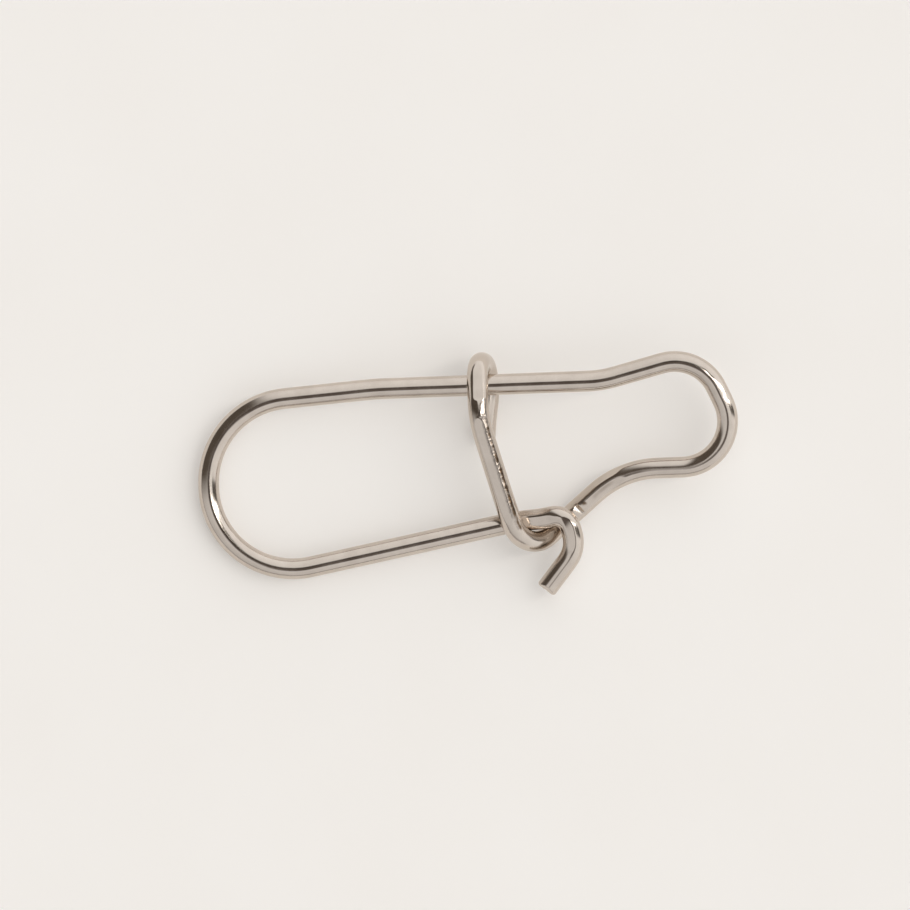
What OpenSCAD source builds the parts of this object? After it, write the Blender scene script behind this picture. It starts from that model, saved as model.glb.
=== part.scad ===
// Fishing snap, bent from one length of round spring wire.
// The wire starts at the tail, wraps over the spine, comes down as the cross-piece, turns the corner, climbs the arm
// into the line eye, runs back along the spine through its own wrap, rounds the lure loop and ends in the hook.
// Sizes are in millimetres and degrees, on the wire's centreline. Depths are measured down from the spine, and
// reaches along the spine from the middle of the wrap.

/* [Wire] */
// Diameter of the spring wire
wire_d = 0.9; // [0.75:0.05:1]
// Clearance where one strand bears on another
strand_gap = 0.06; // [0.04:0.01:0.12]
// Edge broken off each sheared end
end_chamfer = 0.1; // [0.04:0.02:0.2]

/* [Wrap and tail] */
// Sideways step of the wire while it wraps over the spine
wrap_lead = 0.48; // [0.3:0.02:0.7]
// Straight on the crown of the wrap
wrap_flat = 0.1; // [0.06:0.02:0.2]
// Depth of the tail's end behind the cross-piece
tail_depth = 2.4; // [1.6:0.05:3.4]
// Slant of the tail
tail_lean = 4; // [1:0.5:8]

/* [Cross-piece and corner] */
// Depth at which the cross-piece starts to lean towards the eye
bow_depth = 1.5; // [1.3:0.05:2.4]
// Lean of the cross-piece
cross_lean = 15.5; // [12:0.5:18]
// Height of the bow above the strand that bears on the spine
bow_rise = 0.3; // [0.2:0.02:0.4]
// Bend radius where the cross-piece starts to lean
bow_bend = 5; // [3:0.5:6]
// Depth of the corner, where the lines of the cross-piece and the arm meet
corner_depth = 7.55; // [7.4:0.05:7.9]
// Turn of the corner, from the cross-piece into the arm
corner_turn = 114.5; // [110:0.5:116.5]
// Bend radius of the corner
corner_bend = 1.4; // [1.1:0.05:1.45]

/* [Latch] */
// Length of the cross-piece from the leg to the corner
latch_height = 1.65; // [1.6:0.05:1.9]
// Drop of the wire from over the leg to under the hook, in pitches of two strands
latch_pitches = 1.9; // [1.7:0.02:2]
// Length before the leg at which the cross-piece starts to slope
slope_lead = 0.45; // [0.4:0.05:0.8]
// Bend radius where the cross-piece starts to slope
slope_bend = 2; // [1.2:0.1:2.2]
// Slack of the cross-piece over the leg
leg_slack = 0.24; // [0.22:0.01:0.3]
// Slack of the hook over the arm
hook_slack = 0.12; // [0.08:0.01:0.2]
// Length from the arm's lowest point to the hook
dip_lead = 0.3; // [0.15:0.05:0.4]
// Bend radius of the arm at its lowest point
dip_bend = 1.8; // [1:0.1:2.2]

/* [Arm and line eye] */
// Bend radius from the arm into the eye
arm_bend = 4.2; // [3:0.1:5]
// Depth of the eye's lower side
eye_depth = 3.85; // [3.6:0.05:4.2]
// Reach of the eye's far end
eye_reach = 10.45; // [9.6:0.05:12]
// Lean of the eye's far end
eye_lean = 24; // [18:0.5:28]
// Bend radius at the eye's far end
eye_bend = 2; // [1.6:0.05:2.2]
// Reach of the neck, where the spine rises into the eye
neck_reach = 5.1; // [4.4:0.05:6]
// Rise of the eye's upper side
eye_flare = 14; // [10:0.5:18]
// Bend radius of the neck
neck_bend = 5.1; // [3:0.1:8]

/* [Lure loop] */
// Reach of the shoulder, where the spine starts to fall into the loop
shoulder_reach = 4.65; // [3:0.05:6]
// Lean of the loop's upper side
loop_lean = 3.9; // [2:0.1:6]
// Bend radius of the shoulder
shoulder_bend = 12.5; // [6:0.5:20]
// Reach of the loop's far end
loop_reach = 11.95; // [10:0.05:16]
// Depth of the loop's lowest point
loop_depth = 7.6; // [7.4:0.05:7.8]
// Straight at the loop's far end
loop_flat = 0.1; // [0.1:0.05:1]
// Bend radius of the leg where it passes behind the cross-piece
leg_bend = 2.5; // [1.5:0.1:3]

/* [Hook] */
// Length of the hook from the cross-piece to the arch, where the lines of the hook and the shank meet
hook_length = 2.4; // [2.3:0.05:2.6]
// Slant of the hook off the line of the leg, towards the corner
hook_droop = 2.5; // [1:0.5:3]
// Turn of the arch, from the leg into the shank
arch_turn = 86; // [80:0.5:92]
// Bend radius of the arch
arch_bend = 0.71; // [0.6:0.01:0.78]
// Length of the shank from the arch to the bend of the tip
shank_length = 1.59; // [1.54:0.01:2]
// Drop of the shank towards the plane of the snap
shank_drop = 0.16; // [0.04:0.02:0.2]
// Turn from the shank into the tip
tip_turn = 53; // [44:0.5:56]
// Bend radius into the tip
tip_bend = 1.4; // [0.9:0.05:1.45]
// Length of the tip beyond its bend's corner
tip_length = 2.2; // [1.6:0.05:3]
// Drop of the tip towards the plane of the snap
tip_drop = 0.4; // [0.1:0.05:0.5]

/* [Hidden] */

wire_r = wire_d / 2;
// Distance between the centrelines of two strands that bear on each other
strand_pitch = wire_d + strand_gap;
// Straights stop this far short of their bends
joint_gap = 0.01;
// Height by which the ball between a straight and a bend stands proud of the wire
joint_bead = 0.002;
// Cross-sections per bend from which the outer size is worked out
bend_sections = 24;
// Turn along the loop's lower bend to the place where the snap rests on the table
rest_turn = 52;
$fn = 48;

function unit(v) = v / norm(v);
function flat(a) = [cos(a), sin(a)];
function at(p, z) = [p.x, p.y, z];

// Point where the line through p with heading a meets the line through q with heading b
function meet(p, a, q, b) =
    p + flat(a) * ((q - p).x * sin(b) - (q - p).y * cos(b)) / sin(b - a);

// Headings of the cross-piece and the arm in the plane of the snap
cross_heading = cross_lean - 90;
arm_heading = cross_heading + corner_turn;

// Bends worked out from what they have to clear or fill
wrap_bend = strand_pitch - wrap_flat / 2;
loop_drop = (loop_reach - shoulder_reach) * tan(loop_lean);
loop_bend = (loop_depth - loop_drop - loop_flat) / (1 + tan(45 - loop_lean / 2));

// Corners of the wire in the plane of the snap, with the spine on the X axis
wrap_back = [wrap_lead / 2, strand_pitch];
wrap_front = [-wrap_lead / 2, strand_pitch];
tail_end = wrap_back - (strand_pitch + tail_depth) * [tan(tail_lean), 1];
bow = [-wrap_lead / 2, -bow_depth];
corner = bow + (corner_depth - bow_depth) * [tan(cross_lean), -1];
arm_top = meet(corner, arm_heading, [0, -eye_depth], 0);
eye_low = [eye_reach - eye_bend + eye_bend * tan(45 + eye_lean / 2), -eye_depth];
neck = [neck_reach, 0];
eye_high = meet(eye_low, 90 + eye_lean, neck, eye_flare);
shoulder = [-shoulder_reach, 0];
loop_high = [-loop_reach, -loop_drop];

// The leg leaves the loop's lower bend for the place where it passes behind the cross-piece
leg_crossing = corner - latch_height * flat(cross_heading);
leg_span = leg_crossing - [loop_bend - loop_reach, loop_bend - loop_depth];
leg_heading = atan2(leg_span.y, leg_span.x) + asin(loop_bend / norm(leg_span));
loop_low = meet(loop_high, -90, leg_crossing, leg_heading);

// The hook arches over the arm
arch = leg_crossing + hook_length * flat(leg_heading - hook_droop);
shank_heading = leg_heading - arch_turn;
hook = arch + shank_length * flat(shank_heading);
tip_end = hook + tip_length * flat(shank_heading - tip_turn);
arm_crossing = meet(corner, arm_heading, arch, shank_heading);
slope_start = leg_crossing - slope_lead * flat(cross_heading);
dip = arm_crossing - dip_lead * flat(arm_heading);

// Heights above the plane of the snap: the wire falls evenly from the cross-piece to the dip of the arm, and climbs
// evenly from there round the eye
latch_slope = latch_pitches * strand_pitch / (latch_height + norm(dip - corner));
corner_z = strand_pitch - latch_slope * (slope_lead + latch_height);
dip_z = corner_z - latch_slope * norm(dip - corner);
leg_z = -latch_slope * slope_lead - leg_slack;
eye_side = norm(eye_high - eye_low);
eye_climb = dip_z / (norm(arm_top - dip) + norm(eye_low - arm_top) + eye_side);
eye_low_z = eye_climb * eye_side;
arm_top_z = eye_climb * (eye_side + norm(eye_low - arm_top));
hook_z = dip_z - eye_climb * dip_lead + strand_pitch + hook_slack;

// Stations along the wire: a name, a corner and the radius of its bend
stations = [
    ["tail", at(tail_end, -strand_pitch), 0],
    ["wrap_back", at(wrap_back, -strand_pitch), wrap_bend],
    ["wrap_front", at(wrap_front, strand_pitch), wrap_bend],
    ["bow", at(bow, strand_pitch + bow_rise), bow_bend],
    ["slope_start", at(slope_start, strand_pitch), slope_bend],
    ["corner", at(corner, corner_z), corner_bend],
    ["dip", at(dip, dip_z), dip_bend],
    ["arm_top", at(arm_top, arm_top_z), arm_bend],
    ["eye_low", at(eye_low, eye_low_z), eye_bend],
    ["eye_high", at(eye_high, 0), eye_bend],
    ["neck", at(neck, 0), neck_bend],
    ["shoulder", at(shoulder, 0), shoulder_bend],
    ["loop_high", at(loop_high, 0), loop_bend],
    ["loop_low", at(loop_low, 0), loop_bend],
    ["leg_crossing", at(leg_crossing, leg_z), leg_bend],
    ["arch", at(arch, hook_z), arch_bend],
    ["hook", at(hook, hook_z - shank_drop), tip_bend],
    ["tip", at(tip_end, hook_z - shank_drop - tip_drop), 0]
];
last = len(stations) - 1;
function station(name) = search([name], stations)[0];
function point(i) = stations[i][1];
function radius(i) = stations[i][2];

// Straights and bends of the wire: run(i) is the heading from station i to the next
function run(i) = unit(point(i + 1) - point(i));
function turn(i) = i == 0 || i == last ? 0 : acos(run(i - 1) * run(i));
function trim(i) = radius(i) * tan(turn(i) / 2);
function inward(i) = unit(run(i) - run(i - 1) * (run(i - 1) * run(i)));
function bend_axis(i) = cross(run(i - 1), inward(i));
function bend_start(i) = i == last ? point(i) : point(i) - trim(i) * run(max(i, 1) - 1);
function bend_end(i) = point(i) + trim(i) * run(i);
function bend_centre(i) = bend_start(i) + radius(i) * inward(i);
function bend_point(i, a) = bend_centre(i) + radius(i) * (sin(a) * run(i - 1) - cos(a) * inward(i));
function bend_heading(i, a) = cos(a) * run(i - 1) + sin(a) * inward(i);

// The snap lies on its tail, the dip of the arm and the lure loop
tail_rest = point(station("tail"));
dip_rest = bend_point(station("dip"), turn(station("dip")) / 2);
loop_rest = bend_point(station("loop_low"), rest_turn);
up = unit(cross(loop_rest - tail_rest, dip_rest - tail_rest));
east = unit([1, 0, 0] - up * up.x);
north = cross(up, east);

// Cross-sections of the wire, as centre, heading and radius, and the reach of all of them along an axis
sections = concat(
    [[point(0), run(0), wire_r - end_chamfer]],
    [[point(0) + end_chamfer * run(0), run(0), wire_r]],
    [for (i = [1 : last - 1], k = [0 : bend_sections])
        [bend_point(i, turn(i) * k / bend_sections), bend_heading(i, turn(i) * k / bend_sections), wire_r]],
    [[point(last) - end_chamfer * run(last - 1), run(last - 1), wire_r]],
    [[point(last), run(last - 1), wire_r - end_chamfer]]
);
function half(s, axis) = s[2] * sqrt(max(0, 1 - pow(s[1] * axis, 2)));
function lowest(axis) = min([for (s = sections) s[0] * axis - half(s, axis)]);
function highest(axis) = max([for (s = sections) s[0] * axis + half(s, axis)]);
middle = [(lowest(east) + highest(east)) / 2, (lowest(north) + highest(north)) / 2, lowest(up)];

// Puts a shape at p with its X axis along x and its Z axis along z
module place(p, x, z) {
    y = cross(z, x);
    multmatrix([
        [x.x, y.x, z.x, p.x],
        [x.y, y.y, z.y, p.y],
        [x.z, y.z, z.z, p.z],
        [0, 0, 0, 1]
    ]) children();
}

// Straight from station i to the next, with a chamfer where the wire was sheared off
module straight(i) {
    length = norm(bend_start(i + 1) - bend_end(i));
    first = i == 0 ? end_chamfer : joint_gap;
    far = length - (i == last - 1 ? end_chamfer : joint_gap);
    place(bend_end(i), bend_axis(max(i, 1)), run(i)) {
        translate([0, 0, first]) cylinder(h = far - first, r = wire_r);
        if (i == 0) cylinder(h = end_chamfer, r1 = wire_r - end_chamfer, r2 = wire_r);
        if (i == last - 1) translate([0, 0, far]) cylinder(h = end_chamfer, r1 = wire_r, r2 = wire_r - end_chamfer);
    }
}

// Bend at station i, with a ball at each end that joins it to its straights
module bend(i) {
    place(bend_centre(i), -inward(i), bend_axis(i))
        rotate_extrude(angle = turn(i)) translate([radius(i), 0]) circle(r = wire_r);
    place(bend_start(i), bend_axis(i), run(i - 1)) sphere(r = wire_r + joint_bead);
    place(bend_end(i), bend_axis(i), run(i)) sphere(r = wire_r + joint_bead);
}

// The whole wire, laid on the table with the origin under the middle of its outer size
module snap_wire() {
    color([0.73, 0.69, 0.65])
        translate(-middle)
            multmatrix([
                [east.x, east.y, east.z, 0],
                [north.x, north.y, north.z, 0],
                [up.x, up.y, up.z, 0],
                [0, 0, 0, 1]
            ]) {
                for (i = [0 : last - 1]) straight(i);
                for (i = [1 : last - 1]) bend(i);
            }
}

snap_wire();
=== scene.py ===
# Fishing snap of nickel plated spring wire, lying on a pale table under soft light, in metres in the solid's frame.
import bpy
import numpy as np
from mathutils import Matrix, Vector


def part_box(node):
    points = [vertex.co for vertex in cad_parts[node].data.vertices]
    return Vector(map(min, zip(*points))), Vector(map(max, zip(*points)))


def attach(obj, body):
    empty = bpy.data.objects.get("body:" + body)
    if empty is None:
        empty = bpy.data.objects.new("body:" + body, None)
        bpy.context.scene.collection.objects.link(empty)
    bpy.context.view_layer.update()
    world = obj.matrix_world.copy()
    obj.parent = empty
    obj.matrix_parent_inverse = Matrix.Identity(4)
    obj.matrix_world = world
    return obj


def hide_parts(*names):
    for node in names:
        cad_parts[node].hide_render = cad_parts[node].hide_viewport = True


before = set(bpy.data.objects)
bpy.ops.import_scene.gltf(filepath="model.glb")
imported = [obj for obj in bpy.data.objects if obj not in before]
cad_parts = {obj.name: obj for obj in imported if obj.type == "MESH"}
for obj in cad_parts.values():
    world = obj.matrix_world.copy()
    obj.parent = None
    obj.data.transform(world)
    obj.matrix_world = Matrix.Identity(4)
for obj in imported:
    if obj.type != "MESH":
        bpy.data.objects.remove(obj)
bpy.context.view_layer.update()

# Snap wire: one length of drawn spring steel wire, nickel plated, wrapped over itself, bent cold round pins into the
# lure loop, the line eye and the latch, and sheared off at both ends. Sizes are the solid's, in millimetres and
# degrees on the wire's centreline, with depths measured down from the spine and reaches along it from the wrap.
metre = 1000
wire_d = 0.9
wire_r = wire_d / 2
strand_gap = 0.06
strand_pitch = wire_d + strand_gap
end_round = 0.1
wrap_lead = 0.48
wrap_flat = 0.1
tail_depth = 2.4
tail_lean = 4
bow_depth = 1.5
bow_rise = 0.3
bow_bend = 5
cross_lean = 15.5
slope_lead = 0.45
slope_bend = 2
corner_depth = 7.55
corner_turn = 114.5
corner_bend = 1.4
latch_height = 1.65
latch_pitches = 1.9
leg_slack = 0.24
leg_bend = 2.5
hook_slack = 0.12
dip_lead = 0.3
dip_bend = 1.8
arm_bend = 4.2
eye_depth = 3.85
eye_reach = 10.45
eye_lean = 24
eye_bend = 2
eye_flare = 14
neck_reach = 5.1
neck_bend = 5.1
shoulder_reach = 4.65
shoulder_bend = 12.5
loop_lean = 3.9
loop_reach = 11.95
loop_depth = 7.6
loop_flat = 0.1
hook_length = 2.4
hook_droop = 2.5
arch_turn = 86
arch_bend = 0.71
shank_length = 1.59
shank_drop = 0.16
tip_turn = 53
tip_bend = 1.4
tip_length = 2.2
tip_drop = 0.4
rest_turn = 52


def tan(degrees):
    """Tangent of an angle in degrees."""
    return np.tan(np.radians(degrees))


def flat(degrees):
    """Unit vector in the plane of the snap with the given heading."""
    return np.array([np.cos(np.radians(degrees)), np.sin(np.radians(degrees))])


def meet(p, a, q, b):
    """Point where the line through p with heading a meets the line through q with heading b."""
    across = (q[0] - p[0]) * flat(b)[1] - (q[1] - p[1]) * flat(b)[0]
    return p + flat(a) * across / np.sin(np.radians(b - a))


def unit(vectors):
    """Vectors divided by their own lengths."""
    return vectors / np.linalg.norm(vectors, axis=-1, keepdims=True)


cross_heading = cross_lean - 90
arm_heading = cross_heading + corner_turn
wrap_bend = strand_pitch - wrap_flat / 2
loop_drop = (loop_reach - shoulder_reach) * tan(loop_lean)
loop_bend = (loop_depth - loop_drop - loop_flat) / (1 + tan(45 - loop_lean / 2))

wrap_back = np.array([wrap_lead / 2, strand_pitch])
wrap_front = np.array([-wrap_lead / 2, strand_pitch])
tail_end = wrap_back - (strand_pitch + tail_depth) * np.array([tan(tail_lean), 1])
bow = np.array([-wrap_lead / 2, -bow_depth])
corner = bow + (corner_depth - bow_depth) * np.array([tan(cross_lean), -1])
arm_top = meet(corner, arm_heading, np.array([0, -eye_depth]), 0)
eye_low = np.array([eye_reach - eye_bend + eye_bend * tan(45 + eye_lean / 2), -eye_depth])
neck = np.array([neck_reach, 0])
eye_high = meet(eye_low, 90 + eye_lean, neck, eye_flare)
shoulder = np.array([-shoulder_reach, 0])
loop_high = np.array([-loop_reach, -loop_drop])

leg_crossing = corner - latch_height * flat(cross_heading)
leg_span = leg_crossing - np.array([loop_bend - loop_reach, loop_bend - loop_depth])
leg_heading = np.degrees(np.arctan2(leg_span[1], leg_span[0]) + np.arcsin(loop_bend / np.hypot(*leg_span)))
loop_low = meet(loop_high, -90, leg_crossing, leg_heading)
arch = leg_crossing + hook_length * flat(leg_heading - hook_droop)
shank_heading = leg_heading - arch_turn
hook = arch + shank_length * flat(shank_heading)
tip_end = hook + tip_length * flat(shank_heading - tip_turn)
arm_crossing = meet(corner, arm_heading, arch, shank_heading)
slope_start = leg_crossing - slope_lead * flat(cross_heading)
dip = arm_crossing - dip_lead * flat(arm_heading)

# Heights above the plane of the snap: the wire falls evenly from the cross-piece to the dip of the arm, and climbs
# evenly from there round the eye.
latch_slope = latch_pitches * strand_pitch / (latch_height + np.hypot(*(dip - corner)))
corner_z = strand_pitch - latch_slope * (slope_lead + latch_height)
dip_z = corner_z - latch_slope * np.hypot(*(dip - corner))
leg_z = -latch_slope * slope_lead - leg_slack
eye_side = np.hypot(*(eye_high - eye_low))
eye_base = np.hypot(*(eye_low - arm_top))
eye_climb = dip_z / (np.hypot(*(arm_top - dip)) + eye_base + eye_side)
hook_z = dip_z - eye_climb * dip_lead + strand_pitch + hook_slack

# Corners of the wire from the tail to the tip, each with its height and the radius of its bend.
stations = {
    "tail": (*tail_end, -strand_pitch, 0),
    "wrap_back": (*wrap_back, -strand_pitch, wrap_bend),
    "wrap_front": (*wrap_front, strand_pitch, wrap_bend),
    "bow": (*bow, strand_pitch + bow_rise, bow_bend),
    "slope_start": (*slope_start, strand_pitch, slope_bend),
    "corner": (*corner, corner_z, corner_bend),
    "dip": (*dip, dip_z, dip_bend),
    "arm_top": (*arm_top, eye_climb * (eye_side + eye_base), arm_bend),
    "eye_low": (*eye_low, eye_climb * eye_side, eye_bend),
    "eye_high": (*eye_high, 0, eye_bend),
    "neck": (*neck, 0, neck_bend),
    "shoulder": (*shoulder, 0, shoulder_bend),
    "loop_high": (*loop_high, 0, loop_bend),
    "loop_low": (*loop_low, 0, loop_bend),
    "leg_crossing": (*leg_crossing, leg_z, leg_bend),
    "arch": (*arch, hook_z, arch_bend),
    "hook": (*hook, hook_z - shank_drop, tip_bend),
    "tip": (*tip_end, hook_z - shank_drop - tip_drop, 0),
}
corners = np.array([s[:3] for s in stations.values()])
bends = np.array([s[3] for s in stations.values()])[1:-1]
bend_of = {name: i - 1 for i, name in enumerate(stations)}

# Straights and bends follow each other along the wire, and lengths holds both in that order.
runs = unit(np.diff(corners, axis=0))
turns = np.arccos((runs[:-1] * runs[1:]).sum(1))
inward = unit(runs[1:] - runs[:-1] * np.cos(turns)[:, None])
trims = bends * np.tan(turns / 2)
bend_starts = corners[1:-1] - trims[:, None] * runs[:-1]
bend_ends = corners[1:-1] + trims[:, None] * runs[1:]
straight_starts = np.vstack([corners[:1], bend_ends])
lengths = np.zeros(2 * len(bends) + 1)
lengths[0::2] = np.linalg.norm(np.vstack([bend_starts, corners[-1:]]) - straight_starts, axis=1)
lengths[1::2] = bends * turns
ends = np.cumsum(lengths)
bend_from = ends[:-1:2]
bend_middle = bend_from + lengths[1::2] / 2
wire_length = lengths.sum()


def turned(v, axis, angle):
    """Vectors v turned round unit axes by angles: v cos a + (axis x v) sin a + axis (axis . v)(1 - cos a)."""
    c = np.cos(angle)[:, None]
    along = (axis * v).sum(1)[:, None]
    return v * c + np.cross(axis, v) * np.sin(angle)[:, None] + axis * along * (1 - c)


def bent_wire(places):
    """Centreline at distances along the wire: a straight is its start plus the distance times its heading, and a bend
    is its start plus radius (sin a) along the old heading plus radius (1 - cos a) inward. Returns the points and a
    side direction which starts square to the tail and turns only with the bends, so the wire is never twisted."""
    axes = np.cross(runs[:-1], inward)
    sides = [unit(np.cross(runs[0], [1, 0, 0]))]
    for axis, angle in zip(axes, turns):
        sides.append(turned(sides[-1][None], axis[None], np.array([angle]))[0])
    sides = np.array(sides)
    piece = np.searchsorted(ends[:-1], places)
    along = places - (ends - lengths)[piece]
    i = piece // 2
    k = np.minimum(i, len(bends) - 1)
    curved = (piece % 2 == 1)[:, None]
    a = along / bends[k]
    radius = bends[k][:, None]
    straight = straight_starts[i] + along[:, None] * runs[i]
    arc = bend_starts[k] + radius * (np.sin(a)[:, None] * runs[k] + (1 - np.cos(a))[:, None] * inward[k])
    return np.where(curved, arc, straight), np.where(curved, turned(sides[k], axes[k], a), sides[i])


def bell(distance, spread):
    """One at no distance and less both ways: the exponential of minus half the square of distance over spread."""
    return np.exp(-(distance / spread) ** 2 / 2)


def smooth(share):
    """Smooth step: a share kept between nothing and one, its square times three less twice the share."""
    share = np.clip(share, 0, 1)
    return share ** 2 * (3 - 2 * share)


# The bender lets each bend run in and out over a short length, so the centreline is averaged over that length.
fine = 0.02
ease = 0.1
overrun = 0.5
fine_places = np.arange(-overrun, wire_length + overrun, fine)
fine_points, fine_sides = bent_wire(fine_places)
offsets = np.arange(-3 * ease, 3 * ease + fine / 2, fine)
weights = bell(offsets, ease)
weights /= weights.sum()
margin = len(offsets) // 2
fine_points = np.stack([np.convolve(c, weights, "valid") for c in fine_points.T], 1)
fine_sides = fine_sides[margin:-margin]
fine_places = fine_places[margin:-margin]
# Closing the wrap pushed the tail a little towards the eye where it passes behind the spine.
tail_push = 0.09
tail_push_at = 2
tail_push_spread = 0.6
fine_points[:, 0] += tail_push * bell(fine_places - tail_push_at, tail_push_spread)
# The front of the wrap stands off the spine, so the wire rises faster there, and settles again along the cross-piece.
wrap_lift = 0.07
lift_from = 5.4
lift_run = 0.86
settle_from = 7.2
settle_run = 4
lift = np.clip((fine_places - lift_from) / lift_run, 0, 1) - smooth((fine_places - settle_from) / settle_run)
fine_points[:, 2] += wrap_lift * lift
# The spring of the hook draws the corner in against it.
corner_pull = 0.105
corner_pull_spread = 0.9
pull = corner_pull * bell(fine_places - bend_middle[bend_of["corner"]], corner_pull_spread)
fine_points += pull[:, None] * inward[bend_of["corner"]]
# In return the corner draws the hook down before its arch.
hook_pull = 0.06
hook_pull_lead = 0.4
hook_pull_spread = 0.5
pull = hook_pull * bell(fine_places - bend_from[bend_of["arch"]] + hook_pull_lead, hook_pull_spread)
fine_points[:, :2] += pull[:, None] * flat(leg_heading - 90)


def bend_point(name, angle):
    """Point of the named bend after turning by an angle from its start."""
    i = bend_of[name]
    return bend_starts[i] + bends[i] * (np.sin(angle) * runs[i] + (1 - np.cos(angle)) * inward[i])


# The snap lies on its tail, the dip of the arm and the lure loop, and the table's axes follow from the three.
dip_rest = bend_point("dip", turns[bend_of["dip"]] / 2)
loop_rest = bend_point("loop_low", np.radians(rest_turn))
up = unit(np.cross(loop_rest - corners[0], dip_rest - corners[0]))
east = unit(np.array([1, 0, 0]) - up * up[0])
table_axes = np.array([east, np.cross(up, east), up])

# Rings of the mesh stand close together where the wire is marked and wider apart on the plain runs.
ring_points = 96
plain_gap = 0.1
marked_gap = 0.032
marked_runs = [(4.8, 12.2), (15, 17.4), (24.8, 27), (70.6, 72)]
ring_gap = np.full(len(fine_places), plain_gap)
for first, last in marked_runs:
    ring_gap[(fine_places > first) & (fine_places < last)] = marked_gap
ring_count = np.cumsum(fine / ring_gap)
body = np.interp(np.arange(ring_count[0] + 1, ring_count[-1]), ring_count, fine_places)
end_clear = end_round + 0.03
body = body[(body > end_clear) & (body < wire_length - end_clear)]
# Each sheared end is a flat face of three rings inside an edge rounded over seven.
face_width = (wire_r - end_round) * np.array([0.35, 0.7, 0.93])
face_place = np.zeros(len(face_width))
edge_turn = np.linspace(0, np.pi / 2, 7)
edge_place = end_round * (1 - np.cos(edge_turn))
edge_width = wire_r - end_round * (1 - np.sin(edge_turn))
places = np.concatenate([face_place, edge_place, body, wire_length - edge_place[::-1], wire_length - face_place])
width = np.concatenate([face_width, edge_width, np.full(len(body), wire_r), edge_width[::-1], face_width[::-1]])

points = np.stack([np.interp(places, fine_places, c) for c in fine_points.T], 1)
heading = unit(np.stack([np.interp(places, fine_places, c) for c in np.gradient(fine_points, axis=0).T], 1))
side = np.stack([np.interp(places, fine_places, c) for c in fine_sides.T], 1)
side = unit(side - heading * (side * heading).sum(1)[:, None])
across = np.cross(heading, side)
angles = np.arange(ring_points) * 2 * np.pi / ring_points
ring = np.cos(angles)[None, :, None] * side[:, None] + np.sin(angles)[None, :, None] * across[:, None]

dice = np.random.default_rng(7)


def waviness(waves, depth, longest, shortest):
    """Sum of cosine waves along and round the wire, each of its own length, whole turns and start, of total depth."""
    total = np.zeros((len(places), ring_points))
    wave_lengths = np.geomspace(longest, shortest, waves)
    for length, lobes, start in zip(wave_lengths, dice.integers(0, 4, waves), dice.uniform(0, 2 * np.pi, waves)):
        total += np.cos(2 * np.pi * places[:, None] / length + lobes * angles + start) * length / longest
    return depth * total / np.sqrt(waves)


def toward(lean):
    """Directions in the plane across the snap, leaning from straight at the viewer towards the eye."""
    lean = np.radians(np.asarray(lean, float))
    return np.stack([np.sin(lean), np.zeros_like(lean), np.cos(lean)], -1)


def dents(at, lean, long, wide, deep):
    """Hollows in the wire: each is a bell of its own length, width and depth, at a distance along the wire and on the
    side that leans from the viewer by an angle, added up over the whole surface."""
    total = np.zeros((len(places), ring_points))
    for place, facing, l, w, d in zip(at, toward(lean), long, wide, deep):
        i = np.argmin(np.abs(places - place))
        angle = np.arctan2(facing @ across[i], facing @ side[i])
        round_by = (angles - angle + np.pi) % (2 * np.pi) - np.pi
        total += d * (bell(places - place, l)[:, None] * bell(round_by * wire_r, w))
    return total


def above(excess, soft):
    """The part of an excess above nothing: half of it plus half of its root sum of squares with a soft length, which
    rounds the start."""
    return (excess + np.hypot(excess, soft)) / 2


def pressed(facing, along, deep):
    """A flat pressed on the side of the wire that faces a direction: no point stands further out that way than the
    radius less the depth, which runs in smooth steps between its values at distances along the wire. Returns how far
    each point is pushed in: its excess, over the cosine of its angle to the direction, kept at a half or more."""
    square = unit(facing - heading * (heading @ facing)[:, None])
    cosine = (ring * square[:, None]).sum(2)
    depth = deep[0]
    for i in range(len(along) - 1):
        depth = depth + (deep[i + 1] - deep[i]) * smooth((places - along[i]) / (along[i + 1] - along[i]))
    excess = wire_r * cosine - (wire_r - depth)[:, None]
    return above(excess, flat_edge) / np.maximum(cosine, 0.5)


# The tool that closed the wrap pressed flats on the front of the wrap, the cross-piece, the arm and the hook. Each row
# is the way the flat faces, the places along the wire where the tool comes in, reaches its depth, leaves it and is
# clear again, and the two depths.
flat_edge = 0.003
tool_clear = 0.1
press_marks = [
    ((0, 0, 1), (4.5, 5.2, 6.24, 6.44), (0.05, 0.062)),
    ((-0.19, -0.03, 1), (6.6, 7.4, 11.2, 12.4), (0.056, 0.05)),
    ((0.165, -0.21, 1), (15, 15.6, 18.1, 19.5), (0.045, 0.045)),
    ((-0.68, 0.97, 1), (15.2, 16, 18.2, 19.4), (0.043, 0.043)),
    ((0.02, -0.17, 1), (64.8, 65.6, 67.3, 68.2), (0.04, 0.04)),
    ((-0.2, 1.17, 1), (64.8, 65.6, 67.3, 68.2), (0.035, 0.035)),
    ((-0.14, 0, 1), (67.4, 68.4, 69.3, 70.6), (0.04, 0.03)),
]
flats = np.zeros((len(places), ring_points))
for facing, along, deep in press_marks:
    flats += pressed(np.array(facing), along, (-tool_clear, *deep, -tool_clear))
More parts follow.
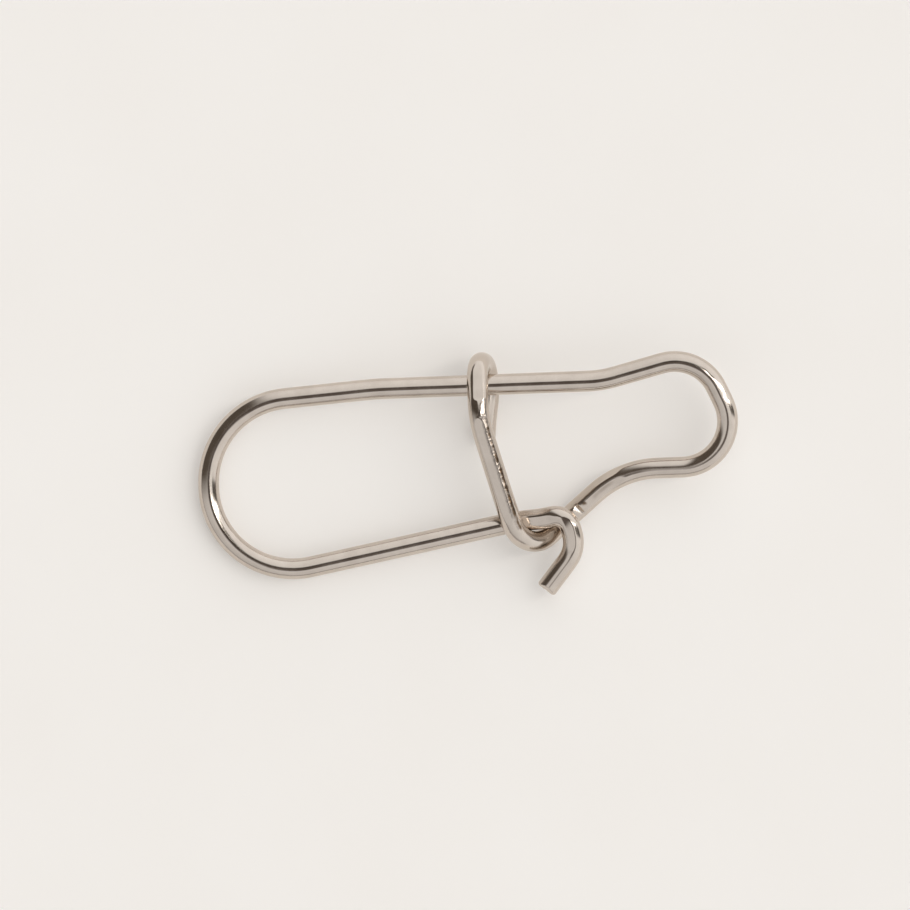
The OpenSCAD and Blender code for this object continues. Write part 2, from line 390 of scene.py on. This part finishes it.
# The cross-piece is scuffed along the edge of its flat, with hundreds of fine pits.
scuff_from = 6.9
scuff_to = 12
scuff_lean = 24
scuff_cosine = 0.93
scuff_blend = 0.06
scuffed = np.clip((ring @ toward(scuff_lean) - scuff_cosine) / scuff_blend, 0, 1)
scuffed *= ((places > scuff_from) & (places < scuff_to))[:, None]
pit_count = 420
pits = dents(at=dice.uniform(scuff_from, scuff_to, pit_count),
             lean=dice.normal(23, 5, pit_count),
             long=dice.uniform(0.02, 0.05, pit_count),
             wide=dice.uniform(0.025, 0.04, pit_count),
             deep=dice.normal(0, 0.0025, pit_count))
pit_wear_depth = 0.005
scuff_wear = 0.6
worn = np.clip(np.abs(pits) / pit_wear_depth + scuff_wear * scuffed, 0, 1)
# Bending pins and pliers left short dents where the wire leaves the wrap and on the end of the eye. Each row is the
# place along the wire, the lean, the length, the width and the depth.
pliers_marks = [
    (6.34, 12, 0.05, 0.12, 0.008),
    (6.98, 8, 0.07, 0.12, 0.01),
    (25.4, 40, 0.12, 0.12, 0.01),
    (26.5, 35, 0.12, 0.12, 0.01),
]
marks = dents(*zip(*pliers_marks))
# Painted reflections in dark brown: a painted dark patch on the side of the wire between the wrap and the cross-piece,
# and a painted dark streak across the arm beside the nick, both standing in for dark reflections in dents, with a
# faint painted warm tint along the arm standing in for a golden glint. Rows are as above, with a strength for a depth.
painted_reflection_marks = [
    (6.44, -42, 0.12, 0.1, 0.2),
    (6.6, -34, 0.12, 0.12, 0.2),
    (6.75, -25, 0.12, 0.12, 0.3),
    (6.9, -12, 0.07, 0.06, 0.5),
    (16.5, -8, 0.05, 0.06, 0.9),
    (16.58, 2, 0.04, 0.06, 0.9),
    (17.1, 16, 0.12, 0.09, 0.2),
    (17.45, 14, 0.2, 0.08, 0.3),
    (17.85, 12, 0.2, 0.07, 0.3),
]
painted_reflection = dents(*zip(*painted_reflection_marks))
# A painted dark reflection runs in a broken line beside the scuffs.
painted_line_from = 7.1
painted_line_count = 70
painted_reflection += dents(at=dice.uniform(painted_line_from, scuff_to, painted_line_count),
                 lean=dice.normal(35, 3, painted_line_count),
                 long=dice.uniform(0.04, 0.1, painted_line_count),
                 wide=dice.uniform(0.025, 0.04, painted_line_count),
                 deep=dice.uniform(0.3, 0.9, painted_line_count))
painted_reflection = np.clip(painted_reflection, 0, 1)
# Drawing left the wire a little wavy, except on its sheared ends.
ripple = waviness(waves=9, depth=0.0016, longest=5, shortest=0.6)
inset = pits + marks + flats - ripple * (width == wire_r)[:, None]
surface = points[:, None] + ring * (width[:, None] - inset)[..., None]


def planed(facing, first, last, height, soft):
    """Cuts a run of the wire off flat: no point between two distances stands further along a direction than a height
    above the centreline at the end of the run. The edge is rounded over a soft length, and the cut runs out over eight
    times that length. Returns how far each point is pushed back."""
    excess = (surface - points[np.argmin(np.abs(places - last))]) @ facing - height
    fading = np.clip((last - places) / (8 * soft), 0, 1) * (places > first)
    return (above(excess, soft) * fading[:, None])[..., None] * facing


# The corner of the tool left a nick on the arm, and the cutters left a bevel on the front of the tip's end.
nick_facing = unit(np.array([0.28, 0.06, 1]))
surface -= planed(nick_facing, first=15.4, last=16.32, height=0.295, soft=0.014)
tip_front = unit(np.array([0, 0, 1]) - heading[-1] * heading[-1, 2])
bevel_facing = unit(heading[-1] + 0.7 * tip_front)
surface -= planed(bevel_facing, first=wire_length - 0.8, last=wire_length + 1, height=0.115, soft=0.006)

# The wire is laid on the table with its length and width centred on the solid's.
turned_surface = surface.reshape(-1, 3) @ table_axes.T
solid_low, solid_high = (np.array(c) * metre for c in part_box("snap_wire"))
laid_shift = (solid_low + solid_high - turned_surface.min(0) - turned_surface.max(0)) / 2
laid_shift[2] = solid_low[2] - turned_surface[:, 2].min()
laid = turned_surface + laid_shift
poles = points[[0, -1]] @ table_axes.T + laid_shift

rings = len(places)
index = np.arange(rings * ring_points).reshape(rings, ring_points)
after = np.roll(index, -1, axis=1)
quads = np.stack([index[:-1], after[:-1], after[1:], index[1:]], -1).reshape(-1, 4)
first_pole = rings * ring_points
first_fan = np.stack([np.full(ring_points, first_pole), after[0], index[0]], -1)
last_fan = np.stack([np.full(ring_points, first_pole + 1), index[-1], after[-1]], -1)
mesh = bpy.data.meshes.new("snap_wire_bent")
vertices = np.vstack([laid, poles]) / metre
mesh.from_pydata(vertices.tolist(), [], quads.tolist() + first_fan.tolist() + last_fan.tolist())
mesh.polygons.foreach_set("use_smooth", np.ones(len(mesh.polygons), bool))
# Each point keeps its place on the wire before bending, in millimetres, how worn it is, and how much painted dark
# reflection it carries.
unbent = np.stack(np.broadcast_arrays(places[:, None], np.cos(angles) * wire_r, np.sin(angles) * wire_r), -1)
unbent = np.vstack([unbent.reshape(-1, 3), [[0, 0, 0], [wire_length, 0, 0]]])
mesh.attributes.new("unbent_place", "FLOAT_VECTOR", "POINT").data.foreach_set("vector", unbent.ravel())
mesh.attributes.new("wear", "FLOAT", "POINT").data.foreach_set("value", np.append(worn.ravel(), [1, 1]))
mesh.attributes.new("painted_reflection_share", "FLOAT", "POINT").data.foreach_set("value", np.append(painted_reflection.ravel(), [0, 0]))
snap = bpy.data.objects.new("snap_wire_bent", mesh)
bpy.context.collection.objects.link(snap)


def linear(code):
    """Linear colour of an sRGB hex code."""
    c = np.array([int(code[i:i + 2], 16) for i in (1, 3, 5)]) / 255
    return (*np.where(c <= 0.04045, c / 12.92, ((c + 0.055) / 1.055) ** 2.4), 1)


def add(tree, kind, links=None, **settings):
    """Adds a node: links fill its sockets with a value or another node's socket, and settings are its properties."""
    node = tree.nodes.new(kind)
    for name, value in settings.items():
        setattr(node, name, value)
    for socket, value in (links or {}).items():
        if isinstance(value, bpy.types.NodeSocket):
            tree.links.new(value, node.inputs[socket])
        else:
            node.inputs[socket].default_value = value
    return node


# Bright nickel plate on drawn spring steel: a warm grey mirror, broken only by faint lines along the wire from the
# drawing die,
#  a little cloudiness of the plating, dull tarnish in the scuffs and painted dark brown reflections.
nickel = bpy.data.materials.new("bright_nickel_on_drawn_steel")
nickel.use_nodes = True
tree = nickel.node_tree
shader = tree.nodes["Principled BSDF"]
shader.inputs["Metallic"].default_value = 1
place = add(tree, "ShaderNodeAttribute", attribute_name="unbent_place").outputs["Vector"]
wear = add(tree, "ShaderNodeAttribute", attribute_name="wear").outputs["Fac"]
painted_reflection_share = add(tree, "ShaderNodeAttribute", attribute_name="painted_reflection_share").outputs["Fac"]
# Die lines are a few thousandths of a millimetre wide, drawn wider and 5 mm long so that they show.
line_length = 5
line_width = 0.06
line_depth = 0.0006
line_scale = (1 / line_length, 1 / line_width, 1 / line_width)
lines_at = add(tree, "ShaderNodeMapping", {"Vector": place, "Scale": line_scale})
lines = add(tree, "ShaderNodeTexNoise", {"Vector": lines_at.outputs["Vector"], "Scale": 1, "Detail": 3}).outputs["Fac"]
relief = add(tree, "ShaderNodeBump", {"Height": lines, "Strength": 1, "Distance": line_depth / metre})
tree.links.new(relief.outputs["Normal"], shader.inputs["Normal"])
# Clouds in the plating are about 0.7 mm across, and the thin places between them are a little darker and glossier.
cloud_size = 0.7
cloud_low = 0.3
cloud_high = 0.7
clouds = add(tree, "ShaderNodeTexNoise", {"Vector": place, "Scale": 1 / cloud_size, "Detail": 4}).outputs["Fac"]
cloud_tone = add(tree, "ShaderNodeValToRGB", {"Fac": clouds})
cloud_tone.color_ramp.elements[0].position = cloud_low
cloud_tone.color_ramp.elements[0].color = linear("#c9beb3")
cloud_tone.color_ramp.elements[1].position = cloud_high
cloud_tone.color_ramp.elements[1].color = linear("#d3c8bd")
tarnished = {0: wear, 6: cloud_tone.outputs["Color"], 7: linear("#a89e95")}
tarnish = add(tree, "ShaderNodeMix", tarnished, data_type="RGBA")
# The painted dark reflections carried by the point attribute darken the base colour towards a dark brown.
painted_darkening = {0: painted_reflection_share, 6: tarnish.outputs[2], 7: linear("#6e5b48")}
painted_reflection_tone = add(tree, "ShaderNodeMix", painted_darkening, data_type="RGBA")
tree.links.new(painted_reflection_tone.outputs[2], shader.inputs["Base Color"])
gloss_range = {"Value": clouds, "From Min": cloud_low, "From Max": cloud_high, "To Min": 0.1, "To Max": 0.16}
cloud_gloss = add(tree, "ShaderNodeMapRange", gloss_range)
wear_dulling = 0.15
dulled = {0: wear, 1: wear_dulling, 2: cloud_gloss.outputs["Result"]}
gloss = add(tree, "ShaderNodeMath", dulled, operation="MULTIPLY_ADD")
tree.links.new(gloss.outputs["Value"], shader.inputs["Roughness"])
mesh.materials.append(nickel)
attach(snap, "root")
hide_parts("snap_wire")

# Table: a flat board a metre square with a coat of matt off-white paint, put on with a roller. The snap lies on it
# and isn't fixed to it.
table_size = 1
table_mesh = bpy.data.meshes.new("table")
table_corners = [(x * table_size / 2, y * table_size / 2, 0) for x, y in ((-1, -1), (1, -1), (1, 1), (-1, 1))]
table_mesh.from_pydata(table_corners, [], [(0, 1, 2, 3)])
table = bpy.data.objects.new("table", table_mesh)
bpy.context.collection.objects.link(table)
paint = bpy.data.materials.new("matt_off_white_paint")
paint.use_nodes = True
tree = paint.node_tree
shader = tree.nodes["Principled BSDF"]
shader.inputs["Roughness"].default_value = 0.8
spot = add(tree, "ShaderNodeTexCoord").outputs["Object"]
# Roller marks in the paint are about 8 mm across.
roller_mark = 0.008
roller = add(tree, "ShaderNodeTexNoise", {"Vector": spot, "Scale": 1 / roller_mark, "Detail": 3}).outputs["Fac"]
paint_tone = add(tree, "ShaderNodeValToRGB", {"Fac": roller})
paint_tone.color_ramp.elements[0].color = linear("#e6e2dd")
paint_tone.color_ramp.elements[1].color = linear("#e9e6e2")
tree.links.new(paint_tone.outputs["Color"], shader.inputs["Base Color"])
# To the camera and in the metal the paint also glows a little, which keeps it pale and its shadows soft.
paint_glow = 0.3
path = add(tree, "ShaderNodeLightPath").outputs
seen = add(tree, "ShaderNodeMath", {0: path["Is Camera Ray"], 1: path["Is Glossy Ray"]}, operation="ADD")
seen = add(tree, "ShaderNodeMath", {0: seen.outputs["Value"], 1: path["Is Transmission Ray"]}, operation="ADD")
glow = add(tree, "ShaderNodeMath", {0: seen.outputs["Value"], 1: paint_glow}, operation="MULTIPLY")
tree.links.new(paint_tone.outputs["Color"], shader.inputs["Emission Color"])
tree.links.new(glow.outputs["Value"], shader.inputs["Emission Strength"])
table_mesh.materials.append(paint)

# Camera: straight over the flat of the snap, from far off with a long lens, turned a little about its own axis. It
# points at a place in the plane of the snap, in millimetres from where the wrap crosses the spine.
photo_turn = 2.116
photo_centre = np.array([-1.314, -2.963, 0])
photo_width = 39.13
camera_distance = 300
sensor = 36
right = np.array([*flat(-photo_turn), 0]) @ table_axes.T
upward = np.array([*flat(90 - photo_turn), 0]) @ table_axes.T
back = np.array([0, 0, 1]) @ table_axes.T
lens = bpy.data.cameras.new("camera")
lens.sensor_width = sensor
lens.lens = sensor * camera_distance / photo_width
lens.clip_start = 0.01
lens.clip_end = 10
camera = bpy.data.objects.new("camera", lens)
bpy.context.collection.objects.link(camera)
pose = np.eye(4)
pose[:3, :3] = np.stack([right, upward, back], 1)
pose[:3, 3] = (photo_centre @ table_axes.T + laid_shift + back * camera_distance) / metre
camera.matrix_world = pose.T.tolist()
bpy.context.scene.camera = camera

# Light: a pale room with a strip lamp on the eye's side, a dark blind on the loop's side and dark boards overhead, all
# far off and soft at the edges. The bright wire mirrors them as its lines and glints.
world = bpy.data.worlds.new("pale_room")
bpy.context.scene.world = world
world.use_nodes = True
tree = world.node_tree
ray = add(tree, "ShaderNodeTexCoord").outputs["Generated"]


def fade(amount, extent, soft):
    """One where the size of an amount is inside an extent and nothing outside, with a smooth step of width soft."""
    size = add(tree, "ShaderNodeMath", {0: amount}, operation="ABSOLUTE").outputs["Value"]
    span = {"Value": size, "From Min": extent + soft / 2, "From Max": extent - soft / 2}
    return add(tree, "ShaderNodeMapRange", span, interpolation_type="SMOOTHSTEP").outputs["Result"]


def board(colour, tone, azimuth, tilt, length, breadth, soft):
    """Lays a board or lamp into the room: a rectangle one unit away in the direction that leans by tilt from overhead
    towards azimuth, its length pointing away from overhead. A ray meets it where its two slopes to the board's axis
    are within half the length and half the breadth, and the edge fades over soft."""
    lean = np.radians(tilt)
    around = np.radians(azimuth)
    outward = np.cos(around) * right + np.sin(around) * upward
    axis = np.cos(lean) * back + np.sin(lean) * outward
    length_way = np.cos(lean) * outward - np.sin(lean) * back
    breadth_way = np.cross(axis, length_way)
    facing = add(tree, "ShaderNodeVectorMath", {0: ray, 1: axis}, operation="DOT_PRODUCT").outputs["Value"]
    covered = add(tree, "ShaderNodeMath", {0: facing, 1: 0}, operation="GREATER_THAN").outputs["Value"]
    for way, extent in ((length_way, length / 2), (breadth_way, breadth / 2)):
        share = add(tree, "ShaderNodeVectorMath", {0: ray, 1: way}, operation="DOT_PRODUCT").outputs["Value"]
        slope = add(tree, "ShaderNodeMath", {0: share, 1: facing}, operation="DIVIDE").outputs["Value"]
        inside = fade(slope, extent, soft)
        covered = add(tree, "ShaderNodeMath", {0: covered, 1: inside}, operation="MULTIPLY").outputs["Value"]
    return add(tree, "ShaderNodeMix", {0: covered, 6: colour, 7: tone}, data_type="RGBA").outputs[2]


def blind(colour, tone, azimuth, spread, tilt, depth, soft):
    """Hangs a dark blind in the room, a slice of the dome: a ray meets it where its azimuth, the arc tangent of its
    shares sideways and outward, is within half the spread, and its lean from overhead, the arc cosine of its share
    upward, is within half the depth of tilt. The edge fades over soft, and all are in degrees."""
    around = np.radians(azimuth)
    outward = np.cos(around) * right + np.sin(around) * upward
    sideways = np.cos(around) * upward - np.sin(around) * right
    out, aside, high = (add(tree, "ShaderNodeVectorMath", {0: ray, 1: way}, operation="DOT_PRODUCT").outputs["Value"]
                        for way in (outward, sideways, back))
    turn = add(tree, "ShaderNodeMath", {0: aside, 1: out}, operation="ARCTAN2").outputs["Value"]
    lean = add(tree, "ShaderNodeMath", {0: high}, operation="ARCCOSINE").outputs["Value"]
    lean_off = add(tree, "ShaderNodeMath", {0: lean, 1: np.radians(tilt)}, operation="SUBTRACT").outputs["Value"]
    within_turn = fade(turn, np.radians(spread / 2), np.radians(soft))
    within_lean = fade(lean_off, np.radians(depth / 2), np.radians(soft))
    covered = add(tree, "ShaderNodeMath", {0: within_turn, 1: within_lean}, operation="MULTIPLY").outputs["Value"]
    return add(tree, "ShaderNodeMix", {0: covered, 6: colour, 7: tone}, data_type="RGBA").outputs[2]


# The walls are palest above and to the right of the snap, as the camera sees it.
wall_tone = 0.89
pale_way = 0.15 * upward + 0.17 * right
paler = add(tree, "ShaderNodeVectorMath", {0: ray, 1: pale_way}, operation="DOT_PRODUCT").outputs["Value"]
wall = add(tree, "ShaderNodeMath", {0: paler, 1: wall_tone}, operation="ADD").outputs["Value"]
room = add(tree, "ShaderNodeCombineColor", {"Red": wall, "Green": wall, "Blue": wall}).outputs["Color"]
# A grey board stands low on the near side, and the blind hangs on the loop's side.
room = board(room, (0.43, 0.41, 0.4, 1), azimuth=-121, tilt=85, length=0.4, breadth=3.2, soft=0.25)
room = blind(room, (0.11, 0.092, 0.076, 1), azimuth=148.5, spread=71, tilt=46, depth=82, soft=18)
# Two dark boards are overhead and one is low on the eye's side, and the lamp shines between them.
room = board(room, (0.12, 0.1, 0.09, 1), azimuth=-78.5, tilt=8.6, length=0.64, breadth=0.32, soft=0.16)
room = board(room, (0.06, 0.05, 0.043, 1), azimuth=27, tilt=19, length=0.66, breadth=0.2, soft=0.16)
room = board(room, (0.12, 0.11, 0.1, 1), azimuth=6, tilt=66, length=0.9, breadth=0.24, soft=0.1)
room = board(room, (7.5, 7.3, 7, 1), azimuth=16, tilt=41.5, length=0.95, breadth=0.08, soft=0.06)
tree.links.new(room, tree.nodes["Background"].inputs["Color"])
tree.nodes["Background"].inputs["Strength"].default_value = 1

bpy.context.scene.view_settings.view_transform = "Standard"
